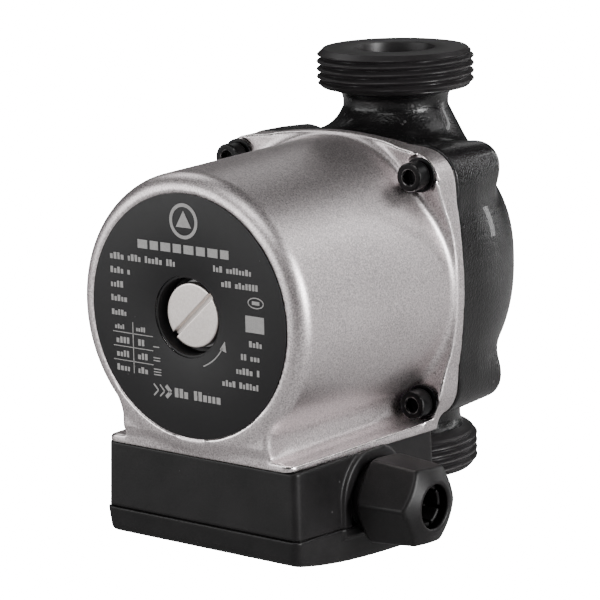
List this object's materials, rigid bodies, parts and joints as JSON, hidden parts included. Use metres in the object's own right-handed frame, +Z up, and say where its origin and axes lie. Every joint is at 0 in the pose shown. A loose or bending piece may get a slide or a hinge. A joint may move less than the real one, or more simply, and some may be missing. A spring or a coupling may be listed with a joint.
{
  "type": "circulator pump",
  "caption": "Wet-rotor circulator pump: cast in-line body with threaded unions, smooth aluminium motor can, vent plug, terminal box and cable gland.",
  "frame": {"origin": "centre of the lower union's end face, on the pipe axis", "axes": "+Z up the pipe to the upper union; -Y out of the motor's front, +X towards the cable gland"},
  "size_m": [0.0996, 0.1322, 0.1406],
  "materials": {
    "black_cast_iron": "glossy black coating over sand-cast orange peel",
    "cast_aluminium": "shot-blasted natural casting",
    "stainless_steel": "pressed and turned",
    "nickel": "nickel-plated, slightly speckled",
    "black_steel": "black oxide",
    "zinc_steel": "zinc-plated",
    "black_plastic": "satin moulded",
    "grey_plastic": "satin moulded",
    "black_rubber": "moulded",
    "label_film": "printed matt film",
    "lamination": "stacked sheet edges",
    "copper_winding": "varnished copper wire",
    "carbon": "sintered carbon",
    "ceramic": "ground",
    "brass": "plated",
    "brown_wire": "insulation",
    "blue_wire": "insulation",
    "black_wire": "insulation"
  },
  "bodies": {
    "pump": {"pump_housing": "black_cast_iron", "neck_ring": "stainless_steel", "bearing_plate": "stainless_steel", "housing_o_ring": "black_rubber", "rotor_can": "stainless_steel", "radial_bearing_rear": "ceramic", "radial_bearing_front": "ceramic", "front_bearing_carrier": "stainless_steel", "stator_core": "lamination", "stator_winding_rear": "copper_winding", "stator_winding_front": "copper_winding", "stator_housing": "cast_aluminium", "label_plate": "label_film", "terminal_box_base": "black_plastic", "box_screw_1": "zinc_steel", "box_screw_2": "zinc_steel", "terminal_block": "grey_plastic", "capacitor": "grey_plastic", "speed_switch": "grey_plastic", "gland_body": "black_plastic", "gland_washer": "black_rubber", "gland_locknut": "black_plastic", "motor_lead_brown": "brown_wire", "motor_lead_blue": "blue_wire", "motor_lead_black": "black_wire", "flange_screw_1": "black_steel", "flange_washer_1": "black_steel", "terminal_screw_1": "brass", "flange_screw_2": "black_steel", "flange_washer_2": "black_steel", "terminal_screw_2": "brass", "flange_screw_3": "black_steel", "flange_washer_3": "black_steel", "terminal_screw_3": "brass", "flange_screw_4": "black_steel", "flange_washer_4": "black_steel", "terminal_screw_4": "brass"},
    "rotor": {"impeller": "stainless_steel", "impeller_collar": "stainless_steel", "shaft": "ceramic", "rotor_core": "lamination", "rotor_end_ring_front": "cast_aluminium", "rotor_end_ring_rear": "cast_aluminium", "rotor_sleeve": "stainless_steel", "thrust_bearing": "carbon", "thrust_bearing_seat": "black_rubber"},
    "vent_seal": {"vent_plug_o_ring": "black_rubber"},
    "vent_plug": {"vent_plug": "nickel"},
    "gland_clamp": {"gland_clamp": "black_plastic"},
    "gland_nut": {"gland_nut": "black_plastic"},
    "speed_knob": {"speed_knob": "grey_plastic"},
    "box_lid": {"terminal_box_lid": "black_plastic", "lid_gasket": "black_rubber"},
    "lid_screw": {"lid_screw": "zinc_steel"}
  },
  "joints": [
    {"name": "rotor_spin", "type": "hinge", "parent": "pump", "child": "rotor", "pos_m": [0, -0.05, 0.065], "axis": [0, -1, 0], "continuous": true},
    {"name": "vent_plug_travel", "type": "slide", "parent": "pump", "child": "vent_seal", "axis": [0, -1, 0], "range_m": [0, 0.0081]},
    {"name": "vent_plug_turn", "type": "hinge", "parent": "vent_seal", "child": "vent_plug", "pos_m": [0, -0.0963, 0.065], "axis": [0, -1, 0], "range_deg": [0, 2160]},
    {"name": "gland_clamp_travel", "type": "slide", "parent": "pump", "child": "gland_clamp", "axis": [1, 0, 0], "range_m": [0, 0.0076]},
    {"name": "gland_nut_turn", "type": "hinge", "parent": "gland_clamp", "child": "gland_nut", "pos_m": [0.045, -0.062, 0.009], "axis": [1, 0, 0], "range_deg": [0, 1800]},
    {"name": "speed_select", "type": "hinge", "parent": "pump", "child": "speed_knob", "pos_m": [-0.036, -0.062, 0.013], "axis": [-1, 0, 0], "range_deg": [-60, 60]},
    {"name": "lid_drop", "type": "slide", "parent": "pump", "child": "box_lid", "axis": [0, 0, -1], "range_m": [0, 0.014]},
    {"name": "lid_screw_turn", "type": "hinge", "parent": "box_lid", "child": "lid_screw", "pos_m": [0.004, -0.04, -0.0065], "axis": [0, 0, -1], "range_deg": [0, 7200]}
  ],
  "couplings": [
    {"joint": "vent_plug_travel", "follows": "vent_plug_turn", "m_per_rad": 0.00021279},
    {"joint": "gland_clamp_travel", "follows": "gland_nut_turn", "m_per_rad": 0.00023873},
    {"joint": "lid_screw_turn", "follows": "lid_drop", "rad_per_m": 8976}
  ]
}
